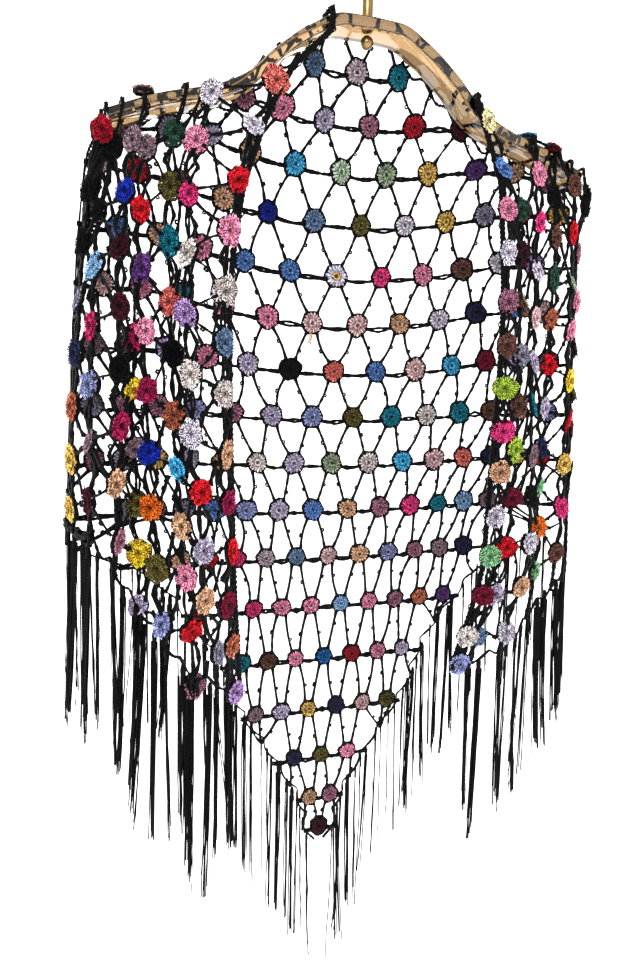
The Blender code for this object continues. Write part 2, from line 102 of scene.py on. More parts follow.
class Reading:
    """A shader socket that sums and products can be written with in Python."""

    def __init__(self, tree, socket):
        self.tree = tree
        self.socket = socket

    def maths(self, operation, first, second):
        node = self.tree.nodes.new("ShaderNodeMath")
        node.operation = operation
        feed(self.tree, node.inputs[0], first)
        feed(self.tree, node.inputs[1], second)
        return Reading(self.tree, node.outputs[0])

    def __add__(self, other):
        return self.maths("ADD", self, other)

    def __radd__(self, other):
        return self.maths("ADD", other, self)

    def __mul__(self, other):
        return self.maths("MULTIPLY", self, other)

    def sine(self):
        return self.maths("SINE", self, 0.0)


class Finish:
    """One Principled material and the nodes that vary it."""

    def __init__(self, name, **constants):
        self.material = bpy.data.materials.new(name)
        self.material.use_nodes = True
        self.tree = self.material.node_tree
        self.shader = self.tree.nodes["Principled BSDF"]
        self.place = self.tree.nodes.new("ShaderNodeTexCoord")
        for slot, value in constants.items():
            self.shader.inputs[slot.replace("_", " ")].default_value = value

    def node(self, kind, output=0, settings=(), numbered=(), **named):
        """One node with its settings, and its inputs by number or by name."""
        made = self.tree.nodes.new(kind)
        for setting, value in dict(settings).items():
            setattr(made, setting, value)
        for slot, value in dict(numbered).items():
            feed(self.tree, made.inputs[slot], value)
        for slot, value in named.items():
            feed(self.tree, made.inputs[slot], value)
        if kind == "ShaderNodeTexNoise":
            self.tree.links.new(self.place.outputs["Object"], made.inputs["Vector"])
        return Reading(self.tree, made.outputs[output])

    def set(self, slot, value):
        feed(self.tree, self.shader.inputs[slot], value)


# The warm base colour is partly painted reflection of warm surroundings, deepened beyond the acrylic's own
# faint tone.
acrylic = Finish(
    "clear bent acrylic", Base_Color=(0.20, 0.125, 0.058, 1), IOR=1.49, Transmission_Weight=1.0
)
cloudy = acrylic.node("ShaderNodeTexNoise", 0, Scale=22.0, Detail=3.0)
acrylic.set("Roughness", 0.02 + cloudy * 0.05)


def complete(piece, slot, *nodes):
    """A made piece rides on the body and stands for its nodes, if any; its slot is not used."""
    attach(piece, "root")
    if nodes:
        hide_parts(*nodes)


def polished(piece, finish, slot, node, smooth_to):
    """A made piece of the hanger gets its one material, and smooth shading below an angle."""
    bpy.ops.object.shade_smooth_by_angle(angle=math.radians(smooth_to))
    piece.data.materials.append(finish.material)
    complete(piece, slot, node)


def round_edges(piece, width, segments, from_angle):
    """Edges sharper than an angle are rounded, and the piece's modifiers are applied."""
    rounding = piece.modifiers.new("rounded edges", "BEVEL")
    rounding.width, rounding.segments = width, segments
    rounding.limit_method, rounding.angle_limit = "ANGLE", math.radians(from_angle)
    apply_all(piece)


def start_fresh():
    if bpy.context.mode != "OBJECT":
        bpy.ops.object.mode_set(mode="OBJECT")
    bpy.ops.object.select_all(action="DESELECT")


def apply_all(piece):
    bpy.context.view_layer.objects.active = piece
    for modifier in list(piece.modifiers):
        bpy.ops.object.modifier_apply(modifier=modifier.name)


def place_in_mesh(piece):
    bpy.ops.object.transform_apply(location=True, rotation=True, scale=True)
    piece.data.name = piece.name


start_fresh()
bpy.ops.mesh.primitive_grid_add(x_subdivisions=112, y_subdivisions=2, size=1)
strip = bpy.context.object
strip.name = "bent_strip"
for vertex in strip.data.vertices:
    across = vertex.co.x * 2 * STRIP_HALF_SPAN
    drop = float(strip_drop(across))
    vertex.co = (across, vertex.co.y * STRIP_DEPTH, -HOOK_TO_STRIP - drop)
wall = strip.modifiers.new("thickness", "SOLIDIFY")
wall.thickness = STRIP_THICKNESS
wall.offset = -1
round_edges(strip, 0.0014, 4, 50)
polished(strip, acrylic, "clear_acrylic", "hanger_arm", 35)

# The hook is a brass wire through a turned collar, held below the strip by a domed nut.
# All three are polished brass, slightly dulled where the wire is handled.
WIRE_RADIUS = 0.0024
BEND_RADIUS = 0.021
BEND_FROM, BEND_SWEEP, BEND_STEPS = -78, 262, 48  # degrees
COLLAR_RADIUS = 0.0050
COLLAR_HEIGHT = 0.024
COLLAR_CUTS = (0.004, 0.0055, 0.0185, 0.020)
COLLAR_GROOVE = (0.005, 0.019)
COLLAR_WAIST = 0.93
NUT_RADIUS = 0.0055
STAND_OFF = 0.0003

brass = Finish("polished brass", Base_Color=(0.50, 0.36, 0.17, 1), Metallic=1.0, Roughness=0.24)
handled = brass.node("ShaderNodeTexNoise", 0, Scale=160.0, Detail=4.0)
brass.set("Roughness", 0.16 + handled * 0.22)
tones = {0: handled, 6: (0.14, 0.085, 0.03, 1), 7: (0.40, 0.27, 0.11, 1)}
brass.set("Base Color", brass.node("ShaderNodeMix", 2, {"data_type": "RGBA"}, tones))

start_fresh()
collar_middle = -HOOK_TO_STRIP + STAND_OFF + COLLAR_HEIGHT / 2
bpy.ops.mesh.primitive_cylinder_add(
    vertices=40, radius=COLLAR_RADIUS, depth=COLLAR_HEIGHT, location=(0, 0, collar_middle)
)
collar = bpy.context.object
collar.name = "turned_collar"
place_in_mesh(collar)
bpy.ops.object.mode_set(mode="EDIT")
for height in COLLAR_CUTS:
    bpy.ops.mesh.select_all(action="SELECT")
    bpy.ops.mesh.bisect(plane_co=(0, 0, -HOOK_TO_STRIP + height), plane_no=(0, 0, 1))
bpy.ops.object.mode_set(mode="OBJECT")
for vertex in collar.data.vertices:
    height = vertex.co.z + HOOK_TO_STRIP
    if COLLAR_GROOVE[0] < height < COLLAR_GROOVE[1]:
        vertex.co.x *= COLLAR_WAIST
        vertex.co.y *= COLLAR_WAIST
round_edges(collar, 0.0005, 2, 30)
polished(collar, brass, "polished_brass", "hook_collar", 40)

start_fresh()
bpy.ops.mesh.primitive_uv_sphere_add(
    segments=32,
    ring_count=20,
    radius=NUT_RADIUS,
    location=(0, 0, -HOOK_TO_STRIP - STRIP_THICKNESS - STAND_OFF - NUT_RADIUS),
)
nut = bpy.context.object
nut.name = "domed_nut"
place_in_mesh(nut)
polished(nut, brass, "polished_brass", "hook_nut", 180)

start_fresh()
bend_middle = Vector((0, 0, -BEND_RADIUS))
reach = BEND_RADIUS + WIRE_RADIUS
foot = -HOOK_TO_STRIP + STAND_OFF * 2 + COLLAR_HEIGHT
route = [Vector((0, 0, foot)), Vector((0, 0, foot + 0.008))]
route.append(Vector((0.001, 0, bend_middle.z - reach - 0.003)))
for k in range(BEND_STEPS + 1):
    angle = math.radians(BEND_FROM + BEND_SWEEP * k / BEND_STEPS)
    route.append(bend_middle + Vector((math.cos(angle), 0, math.sin(angle))) * reach)
wire_line = bpy.data.curves.new("bent_wire", "CURVE")
wire_line.dimensions = "3D"
wire_line.bevel_depth = WIRE_RADIUS
wire_line.bevel_resolution = 6
wire_line.use_fill_caps = True
stretch = wire_line.splines.new("POLY")
stretch.points.add(len(route) - 1)
for point, place in zip(stretch.points, route):
    point.co = (*place, 1)
wire = bpy.data.objects.new("bent_wire", wire_line)
bpy.context.collection.objects.link(wire)
wire.select_set(True)
bpy.context.view_layer.objects.active = wire
bpy.ops.object.convert(target="MESH")
polished(bpy.context.object, brass, "polished_brass", "hook_wire", 40)

# The shawl is worked flat in one piece and hangs over the strip: its middle is the back, its ends
# the fronts. This section is its drape; every stitch below is placed on the flat cloth and hung with it.
HALF_WALL = 0.0007
SEAM = 0.0003  # between back and fronts, on the strip
OVER_STRIP = 0.0155  # cloth from the seam to the strip's edge
TURN = 0.0180  # cloth from the seam to where it hangs
SWING = 0.055  # drop in which it leaves the strip's face
CLEAR = 0.0022
EDGE_DIP = 0.0022
FACE_CLEAR = STRIP_DEPTH / 2 + CLEAR + HALF_WALL * 0.8
SIDE_LINE = (  # depth, distance out, distance back, of the outermost fold
    (0.10, 0.217, 0.004),
    (0.15, 0.227, 0.010),
    (0.20, 0.233, 0.014),
    (0.30, 0.240, 0.020),
    (0.45, 0.247, 0.027),
)
BACK_LINE = (  # depth, distance back, of the middle of the back
    (0.000, 0.0185),
    (0.031, 0.0260),
    (0.069, 0.0420),
    (0.106, 0.0540),
    (0.149, 0.0600),
    (0.250, 0.0620),
    (0.400, 0.0630),
    (0.550, 0.0720),
    (0.770, 0.0780),
)
BACK_HALF = 0.2475
BACK_HEM = (  # depth, half the flat width
    (0.445, 0.2475),
    (0.465, 0.2020),
    (0.490, 0.1620),
    (0.524, 0.1360),
    (0.565, 0.1060),
    (0.615, 0.0880),
    (0.660, 0.0600),
    (0.700, 0.0360),
    (0.723, 0.0240),
    (0.757, 0.0155),
    (0.772, 0.0100),
)
NECK_REACH = (-0.040, 0.095)
FRONT_FLAT = 0.200
FRONT_BULGE = {"left": 0.020, "right": -0.012}
FRONT_EDGE = {  # depth, distance out, distance forward, of each front's inner edge
    "left": (
        (0.000, 0.040, 0.018),
        (0.016, 0.042, 0.020),
        (0.034, 0.057, 0.021),
        (0.051, 0.073, 0.022),
        (0.088, 0.093, 0.024),
        (0.120, 0.106, 0.029),
        (0.159, 0.118, 0.033),
        (0.250, 0.127, 0.037),
        (0.450, 0.124, 0.039),
        (0.560, 0.116, 0.030),
    ),
    "right": (
        (0.000, 0.095, 0.018),
        (0.055, 0.100, 0.020),
        (0.077, 0.110, 0.023),
        (0.106, 0.117, 0.028),
        (0.135, 0.119, 0.032),
        (0.250, 0.121, 0.036),
        (0.450, 0.119, 0.038),
        (0.560, 0.094, 0.032),
    ),
}
FRONT_HEM = {  # share of the way out from the inner edge, depth
    "left": ((0.0, 0.562), (0.2, 0.527), (0.35, 0.495), (0.6, 0.437), (1.0, 0.415)),
    "right": ((0.0, 0.560), (0.28, 0.537), (0.5, 0.505), (0.75, 0.465), (1.0, 0.440)),
}
FOLDS = {"left": (2.1, 0.0120), "right": (2.1, 0.0070)}
FOLD_START = 0.02
FOLD_FULL = 0.19
FOLD_DRIFT = 0.12
FOLD_DRIFT_RATE = 9
FOLD_LEAN = 0.35
ROW_RISE = (  # depth, how fast a row rises to each side, per metre
    (0.00, 0.90),
    (0.25, 0.85),
    (0.30, 0.55),
    (0.35, 0.30),
    (0.50, 0.20),
)
RISE_FULL = 0.06
RISE_FADE = (0.14, 0.10, 0.55)
OVAL_ANGLE = np.linspace(0, math.pi / 2, 240)
OVAL_LINE = np.stack([0.24 * np.sin(OVAL_ANGLE), 0.045 * np.cos(OVAL_ANGLE)], axis=1)
SIDE_NAMES = {"left": -1, "right": 1}


def run_along(path):
    """The distance from a path's start to each of its points."""
    return np.concatenate([[0], np.cumsum(np.linalg.norm(np.diff(path, axis=0), axis=1))])


OVAL_SHARE = run_along(OVAL_LINE) / run_along(OVAL_LINE)[-1]


def ease(t):
    t = np.clip(t, 0.0, 1.0)
    return t * t * (3 - 2 * t)


def leaves_strip(x, depth):
    return ease((depth - strip_drop(x) - STRIP_THICKNESS - 0.002) / SWING)


def turned_down(v):
    return ease((v - OVER_STRIP) / (TURN - OVER_STRIP))


def oval_angle(s):
    return np.interp(np.minimum(np.abs(s) / BACK_HALF, 1.0), OVAL_SHARE, OVAL_ANGLE)


def hang_back(s, v):
    """Where the back's cloth hangs: s across from its middle, v down from the seam on the strip."""
    angle = oval_angle(s)
    side = np.where(s < 0, -1.0, 1.0)
    top = SIDE_LINE[0][1] * np.sin(angle)
    hung = np.maximum(v - TURN, 0.0)
    depth = strip_drop(top) + hung
    behind = read_off(SIDE_LINE, depth, 2)
    x = np.where(v <= TURN, SIDE_LINE[0][1], read_off(SIDE_LINE, depth)) * np.sin(angle)
    full = behind + SEAM / 2 + (read_off(BACK_LINE, depth) - behind) * np.cos(angle)
    y = FACE_CLEAR + (full - FACE_CLEAR) * leaves_strip(x, depth)
    grown = ease(hung / RISE_FULL) * (1 - RISE_FADE[2] * ease((x - RISE_FADE[0]) / RISE_FADE[1]))
    z = CLEAR - EDGE_DIP - depth + read_off(ROW_RISE, depth) * x * x * grown
    on_top = SEAM / 2 + (FACE_CLEAR - SEAM / 2) * np.minimum(v / OVER_STRIP, 1.0)
    y = np.where(v <= TURN, on_top, y)
    z = np.where(v <= TURN, CLEAR - depth - EDGE_DIP * turned_down(v), z)
    return np.stack([side * x, y, z - HOOK_TO_STRIP], axis=-1)


def front_plan(hand, share, depth):
    angle = share * math.pi / 2
    out, back = read_off(SIDE_LINE, depth), read_off(SIDE_LINE, depth, 2)
    edge, ahead = read_off(FRONT_EDGE[hand], depth), read_off(FRONT_EDGE[hand], depth, 2)
    x = edge + (out - edge) * np.sin(angle)
    y = back - SEAM / 2 - (back + ahead) * np.cos(angle)
    return x, y - FRONT_BULGE[hand] * np.sin(math.pi * share) * ease(depth / 0.3)


FRONT_SHARES = np.linspace(0, 1, 201)
FRONT_TOPS = {}
for hand in SIDE_NAMES:
    top = np.full(len(FRONT_SHARES), 0.1)
    for _ in range(25):
        top = front_plan(hand, FRONT_SHARES, strip_drop(top))[0]
    FRONT_TOPS[hand] = top


def front_top(hand, share):
    return np.interp(share, FRONT_SHARES, FRONT_TOPS[hand])


def hang_front(hand, s, v):
    """Where a front's cloth hangs: s from its inner edge, v down from the seam on the strip."""
    share = np.clip(s / FRONT_FLAT, 0.0, 1.0)
    top = front_top(hand, share)
    hung = np.maximum(v - TURN, 0.0)
    depth = strip_drop(top) + hung
    x, full = front_plan(hand, share, depth)
    count, deep = FOLDS[hand]
    below = depth - strip_drop(x) - STRIP_THICKNESS
    grown = ease((below - FOLD_START) / (FOLD_FULL - FOLD_START)) * (1 - share**4)
    drift = FOLD_DRIFT * np.sin(FOLD_DRIFT_RATE * depth)
    wave = deep * grown * np.sin(2 * math.pi * (count * share + drift))
    y = -FACE_CLEAR + (full + FACE_CLEAR) * leaves_strip(x, depth) - wave
    x = x + FOLD_LEAN * wave * np.cos(math.pi * share)
    z = CLEAR - EDGE_DIP - depth
    on_top = -SEAM / 2 - (FACE_CLEAR - SEAM / 2) * np.minimum(v / OVER_STRIP, 1.0)
    x = np.where(v <= TURN, top, x)
    y = np.where(v <= TURN, on_top, y)
    z = np.where(v <= TURN, CLEAR - depth - EDGE_DIP * turned_down(v), z)
    return np.stack([SIDE_NAMES[hand] * x, y, z - HOOK_TO_STRIP], axis=-1)


def start_depth(panel, s):
    """Depth at which a panel's cloth leaves the strip."""
    if panel == "back":
        return strip_drop(SIDE_LINE[0][1] * np.sin(oval_angle(s)))
    return strip_drop(front_top(panel, np.clip(np.asarray(s) / FRONT_FLAT, 0.0, 1.0)))


def hang(panel, s, depth):
    """Points of the hung cloth for places on the flat panel, given across and by depth."""
    s, depth = np.broadcast_arrays(np.asarray(s, float), np.asarray(depth, float))
    v = np.maximum(depth - start_depth(panel, s) + TURN, 0.0)
    return hang_back(s, v) if panel == "back" else hang_front(panel, s, v)


def unit(vectors):
    return vectors / np.maximum(np.linalg.norm(vectors, axis=-1, keepdims=True), 1e-12)


def lie_of_cloth(panel, s, depth):
    """Point, direction across, direction down and outward normal of the hung cloth, and its gather."""
    step = 0.0015
    here = hang(panel, s, depth)
    across = hang(panel, s + step, depth) - hang(panel, s - step, depth)
    down = hang(panel, s, depth + step) - hang(panel, s, depth - step)
    gather = np.linalg.norm(across, axis=-1) / (2 * step)
    normal = unit(np.cross(across, down))
    outward = np.array((0, 1, 0.8) if panel == "back" else (0, -1, 0.8))
    normal = normal * np.where((normal * outward).sum(-1, keepdims=True) < 0, -1.0, 1.0)
    down = unit(down)
    across = unit(np.cross(down, normal))
    return here, across, down, normal, gather


# Every stitch is worked in a shiny twisted thread: black for the net, one bright colour a rosette.
# The plies show as fine slanting ridges with painted shade in their grooves; painted light brightens the
# stitches, and painted shade takes the colour to near black between two stitches.
YARNS = {  # letter: name, screen red, green and blue
    "W": ("lilac white", 206, 197, 214),
    "w": ("cream white", 212, 198, 194),
    "L": ("pale lilac", 176, 164, 190),
    "V": ("violet", 176, 140, 200),
    "P": ("pink", 222, 130, 160),
    "p": ("pale pink", 212, 170, 172),
    "H": ("hot pink", 214, 56, 116),
    "M": ("magenta", 156, 32, 78),
    "R": ("red", 190, 26, 38),
    "a": ("dark red", 150, 22, 38),
    "C": ("coral", 220, 106, 98),
    "O": ("orange", 226, 104, 36),
    "r": ("terracotta", 176, 96, 72),
    "T": ("tan", 196, 150, 118),
    "G": ("gold", 204, 164, 84),
    "i": ("ivory", 220, 196, 146),
    "Y": ("yellow", 224, 184, 50),
    "o": ("olive", 88, 80, 42),
    "g": ("sage", 138, 154, 128),
    "j": ("pale sage", 170, 190, 162),
    "m": ("mint", 120, 172, 124),
    "D": ("dark green", 44, 74, 60),
    "l": ("lime", 152, 182, 62),
    "t": ("teal", 26, 110, 128),
    "S": ("sky blue", 66, 158, 206),
    "s": ("light blue", 124, 164, 208),
    "c": ("cornflower", 86, 122, 188),
    "z": ("azure", 30, 98, 164),
    "B": ("royal blue", 26, 44, 150),
    "N": ("navy", 34, 38, 64),
    "b": ("periwinkle", 134, 140, 188),
    "f": ("dusty blue", 96, 120, 154),
    "y": ("lavender grey", 128, 122, 142),
    "e": ("grey mauve", 128, 104, 114),
    "x": ("pinkish grey", 178, 158, 170),
    "u": ("mauve", 152, 100, 122),
    "n": ("brown", 92, 62, 54),
    "d": ("maroon", 54, 20, 30),
    "k": ("burgundy", 108, 24, 48),
    "q": ("purple", 88, 54, 112),
    "K": ("black", 8, 7, 9),
}
PLY_LENGTH = 0.0022
RIDGE_LIGHT, FIBRE_LIGHT, STITCH_LIGHT = 0.10, 0.4, 5.0
LIGHT_OFFSET, LEAST_LIGHT = -1.7, 0.12
RELIEF_DEPTH = 0.0004


def yarn_colour(letter):
    screen = np.array(YARNS[letter][1:]) / 255
    return screen**2.2


BLACK = yarn_colour("K")

net_yarn = Finish("black net yarn", Roughness=0.5, Specular_IOR_Level=0.09)
bright_yarn = Finish("bright rosette yarn", Roughness=0.6, Specular_IOR_Level=0.1)
# The colour attribute holds each yarn's dye, with painted light and shade already in it on the rosettes.
for finish, ridge in ((net_yarn, 0.9), (bright_yarn, 0.6)):
    dye_and_painted_light = finish.node("ShaderNodeAttribute", 0, {"attribute_name": "dye_and_painted_light"})
    plies = finish.node("ShaderNodeAttribute", 2, {"attribute_name": "plies"})
    fibres = finish.node("ShaderNodeTexNoise", 0, Scale=1500.0, Detail=3.0)
    stitches = finish.node("ShaderNodeTexNoise", 0, Scale=720.0, Detail=1.0)
    ridges = (plies * (2 * math.pi)).sine()
    # Painted light and shade: the colour is lightened on ply ridges and stitches, and darkened in the
    # grooves and between stitches.
    light = ridges * RIDGE_LIGHT + fibres * FIBRE_LIGHT + stitches * STITCH_LIGHT + LIGHT_OFFSET
    light = light.maths("MAXIMUM", light, LEAST_LIGHT)
    shade = finish.node("ShaderNodeCombineXYZ", X=light, Y=light, Z=light)
    product = {"operation": "MULTIPLY"}
    shaded = finish.node("ShaderNodeVectorMath", 0, product, {0: dye_and_painted_light, 1: shade})
    finish.set("Base Color", shaded)
    relief = ridges * 0.6 + fibres * 0.8 + stitches * 1.5
    bump = finish.node("ShaderNodeBump", 0, Strength=ridge, Distance=RELIEF_DEPTH, Height=relief)
    finish.set("Normal", bump)


class Crochet:
    """Stitches gathered into one mesh: their points, faces, colours and plies."""

    def __init__(self, panel):
        self.panel = panel
        self.points, self.dyes, self.plies = [], [], []
        self.faces, self.kinds = [], []
        self.count = 0

    def add(self, points, faces, dyes, plies, kind):
        self.points.append(points)
        self.dyes.append(np.broadcast_to(dyes, (len(points), 3)))
        self.plies.append(plies)
        self.faces += [tuple(int(k) + self.count for k in face) for face in faces]
        self.kinds += [kind] * len(faces)
        self.count += len(points)

    def strand(self, path, normals, radius, sides=4, dye=BLACK, kind=0, beads=0.0, bead_length=0.0032):
        """A thread along a path, thicker and thinner by turns as worked chains are, with closed ends.

        normals is one direction, or one for each point of the path.
        """
        path = np.asarray(path, float)
        along = unit(np.gradient(path, axis=0))
        side = unit(np.cross(along, normals))
        up = np.cross(side, along)
        run = run_along(path)
        thick = radius * (1 + beads * np.sin(2 * math.pi * run / bead_length))
        turn = 2 * math.pi * (np.arange(sides) + 0.5) / sides
        ring = np.cos(turn)[None, :, None] * side[:, None] + np.sin(turn)[None, :, None] * up[:, None]
        points = (path[:, None] + ring * thick[:, None, None]).reshape(-1, 3)
        rows, columns = np.meshgrid(np.arange(len(path) - 1), np.arange(sides), indexing="ij")
        rows, columns = rows.ravel() * sides, columns.ravel()
        following = (columns + 1) % sides
        faces = np.stack(
            [rows + columns, rows + sides + columns, rows + sides + following, rows + following], axis=1
        ).tolist()
        last = (len(path) - 1) * sides
        faces.append(list(range(sides)))
        faces.append([last + k for k in range(sides)][::-1])
        plies = (run[:, None] / PLY_LENGTH + 0.5 * (np.arange(sides) % 2)[None]).ravel()
        self.add(points, faces, dye, plies, kind)

    def worked(self, flat, radius, **kind):
        """A strand along places on the flat panel: across, depth and height above the cloth."""
        flat = np.asarray(flat, float)
        here, _, _, normal, _ = lie_of_cloth(self.panel, flat[:, 0], flat[:, 1])
        self.strand(here + normal * flat[:, 2:], normal, radius, **kind)

    def finish(self, name, slot, *nodes):
        points = np.concatenate(self.points)
        data = bpy.data.meshes.new(name)
        data.from_pydata(points.tolist(), [], self.faces)
        # The colour attribute is the yarn's dye, with the rosettes' painted light and shade in it.
        dye_and_painted_light = data.attributes.new("dye_and_painted_light", "FLOAT_COLOR", "POINT")
        colours = np.concatenate([np.concatenate(self.dyes), np.ones((len(points), 1))], axis=1)
        dye_and_painted_light.data.foreach_set("color", colours.astype(np.float32).ravel())
        plies = data.attributes.new("plies", "FLOAT", "POINT")
        plies.data.foreach_set("value", np.concatenate(self.plies).astype(np.float32))
        data.materials.append(net_yarn.material)
        data.materials.append(bright_yarn.material)
        data.polygons.foreach_set("material_index", self.kinds)
        data.polygons.foreach_set("use_smooth", [True] * len(self.faces))
        piece = bpy.data.objects.new(name, data)
        bpy.context.collection.objects.link(piece)
        complete(piece, slot, *nodes)
        return piece


# Each rosette is worked in rounds from a small ring, and its last round ends in loops.
# The right side is full and petalled, the wrong side flat, and a black round holds it in the net.
PETALS = 18
# In this table and the next, the brightness is painted light and shade: lit on the petals and raised
# rounds, with painted shade in the grooves between petals and at the middle.
FULL_ROSETTE = (  # on a petal and between two: share of the radius, height in mm, brightness
    (0.12, 0.12, 0.5, 0.5, 0.10, 0.10),
    (0.24, 0.24, 2.0, 1.8, 0.75, 0.40),
    (0.37, 0.37, 1.2, 1.0, 0.22, 0.12),
    (0.60, 0.58, 2.0, 1.4, 0.60, 0.18),
    (0.85, 0.80, 1.7, 0.8, 0.55, 0.10),
    (1.00, 0.84, 0.6, 0.0, 0.45, 0.05),
    (0.90, 0.84, -0.7, -0.5, 0.70, 0.35),
    (0.40, 0.40, -1.2, -1.2, 0.90, 0.70),
)
FLAT_ROSETTE = (
    (0.40, 0.40, 1.6, 1.4, 0.90, 0.60),
    (0.92, 0.84, 1.1, 0.6, 0.80, 0.30),
    (1.03, 0.97, -0.9, -0.2, 1.15, 0.04),
    (0.82, 0.80, -1.6, -0.8, 0.95, 0.16),
    (0.55, 0.53, -1.6, -1.2, 0.62, 0.26),
    (0.42, 0.42, -1.0, -0.9, 0.26, 0.18),
    (0.27, 0.27, -1.9, -1.7, 1.20, 0.55),
    (0.12, 0.12, -0.6, -0.6, 0.08, 0.06),
)


def rosette_pattern(rounds):
    """One rosette's points (shares across and down, metres up), faces, brightness and plies."""
    points, faces, bright, plies = [(0, 0, rounds[0][2] / 1000)], [], [0.2], [0.0]
    count = PETALS * 2
    for number, (on, off, high, low, lit, dim) in enumerate(rounds):
        for k in range(count):
            angle = 2 * math.pi * k / count
            between = (k + number // 2) % 2
            share, height = (off, low) if between else (on, high)
            points.append((share * math.sin(angle), share * math.cos(angle), height / 1000))
            bright.append(dim if between else lit)
            plies.append(1.5 * between)
    points.append((0, 0, rounds[-1][2] / 1000))
    bright.append(0.2)
    plies.append(0.0)
    for k in range(count):
        after = (k + 1) % count
        faces.append((0, 1 + after, 1 + k))
        for ring in range(len(rounds) - 1):
            one, two = 1 + ring * count, 1 + (ring + 1) * count
            faces.append((one + k, one + after, two + after, two + k))
        last = 1 + (len(rounds) - 1) * count
        faces.append((last + k, last + after, len(points) - 1))
    return np.array(points), faces, np.array(bright), np.array(plies)


PATTERNS = {"front": rosette_pattern(FULL_ROSETTE), "back": rosette_pattern(FLAT_ROSETTE)}
LEAST_GATHER = {"back": 0.9, "left": 0.7, "right": 0.7}
ROUND_RADIUS = 0.0016
LOOP_RADIUS = 0.0004
LOOP_SPREAD = 2.1
BRIGHTEST = 0.95
chance = np.random.default_rng(5)  # draws for the net, the rosettes and the bands, in working order
RIM_LOOPS = 26
INNER_LOOPS = 13


def work_loops(piece, lay, up, dye, count, root, tip, high):
    """Hairpin loops of the rosette's thread, standing out from a round."""
    for k in range(count):
        angle = 2 * math.pi * (k + chance.uniform(-0.3, 0.3)) / count
        width = LOOP_SPREAD / count
        far = tip * chance.uniform(0.94, 1.08)
        hairpin = (
            (root, -width, 0.0),
            (0.9 * far, -width, 0.0006),
            (far, chance.normal(0, 0.05), 0.0),
            (0.9 * far, width, 0.0005),
            (root, width, -0.0002),
        )
        loop = [
            (out * math.sin(angle + turn), out * math.cos(angle + turn), high + rise)
            for out, turn, rise in hairpin
        ]
        tint = np.minimum(dye * chance.uniform(0.7, 1.7), BRIGHTEST)
        piece.strand(lay(np.array(loop)), up, LOOP_RADIUS, sides=3, dye=tint, kind=1)


def work_rosette(piece, s, depth, radius, letter, lift=0.0, eye=None):
    """One rosette with its black round, lying on the cloth at its place."""
    at = lie_of_cloth(piece.panel, np.array([s]), np.array([depth]))
    here, across, down, normal, gather = (part[0] for part in at)
    full = piece.panel != "back"
    narrow = min(max(gather, LEAST_GATHER[piece.panel]), 1.0)
    narrow *= chance.uniform(0.86, 1.06) if full else 1.0
    lean = chance.normal(0, 0.17 if full else 0.05, 2)
    up = unit(normal + across * lean[0] + down * lean[1])
    across, down = unit(across - up * (across @ up)), unit(down - up * (down @ up))
    turn = chance.uniform(0, 2 * math.pi)
    radius = radius * chance.uniform(0.92, 1.08)
    middle = here + up * lift
    dye = yarn_colour(letter) * chance.uniform(0.85, 1.15)
    uneven = chance.uniform(0, 2 * math.pi, 2)

    def lay(points):
        a = points[:, 0] * math.cos(turn) - points[:, 1] * math.sin(turn)
        b = points[:, 0] * math.sin(turn) + points[:, 1] * math.cos(turn)
        around = np.arctan2(b, a)
        wobble = 1 + 0.045 * np.cos(2 * around + uneven[0]) + 0.03 * np.cos(3 * around + uneven[1])
        wobble = wobble + 0.055 * np.cos(6 * (around + turn))
        flat = (a * narrow * wobble)[:, None] * across + (b * wobble)[:, None] * down
        return middle + flat * radius + points[:, 2:] * up

    pattern, faces, bright, plies = PATTERNS["front" if full else "back"]
    speckle = chance.uniform(0.60, 1.40, (len(pattern), 1))
    # The pattern's brightness paints light and shade into the yarn's colour; the speckle is the yarn's
    # uneven tone.
    colours = dye[None] * bright[:, None] * speckle
    if eye:
        core = np.hypot(pattern[:, 0], pattern[:, 1]) < 0.3
        colours[core] = yarn_colour(eye) * bright[core][:, None]
    loose = chance.normal(0, 0.00018, (len(pattern), 3))
    piece.add(lay(pattern) + loose, faces, np.minimum(colours, BRIGHTEST), plies, 1)
    steps = np.linspace(0, 2 * math.pi, 22)
    outer, deep = (1.05, -0.0012) if full else (1.06, 0.0006)
    sunk = np.full(22, deep)
    ring = np.stack([outer * np.sin(steps), outer * np.cos(steps), sunk], axis=1)
    piece.strand(lay(ring), up, ROUND_RADIUS, beads=0.22, bead_length=0.0041)
    if full:
        work_loops(piece, lay, up, dye, RIM_LOOPS, 0.78, 1.18, 0.0014)
        work_loops(piece, lay, up, dye, INNER_LOOPS, 0.34, 0.72, 0.0022)


# The black net joins the rosettes: a doubled, twisted bar along each row and two thin chains
# from each rosette to the next row, each chain with one small knotted loop near its middle.
BAR_RADIUS = 0.0017
CHAIN_RADIUS = 0.0015
KNOT_RADIUS = 0.0013
BAR_STEP, CHAIN_STEP = 0.0027, 0.0038
BAR_PARTING = (0.0003, 0.0015)  # half the gap between a bar's two strands, least and most
BAR_WEAVE = 0.0005
CHAIN_BOW = 0.0012
BAR_STITCH = {"beads": 0.20, "bead_length": 0.0064}
CHAIN_STITCH = {"beads": 0.26, "bead_length": 0.0092}


def flared(t, radius, more):
    """A radius that grows towards both ends, where a strand is worked into a rosette."""
    return radius * (1 + more * (1 - np.sin(math.pi * t)) ** 3)


def course(start, end, step):
    """Shares and flat places along a straight line between two places, and its sideways direction."""
    start, way = np.array(start, float), np.subtract(end, start)
    length = max(float(np.linalg.norm(way)), 1e-4)
    t = np.linspace(0, 1, max(int(length / step), 4))
    return t, start + way * t[:, None], np.array((-way[1], way[0])) / length


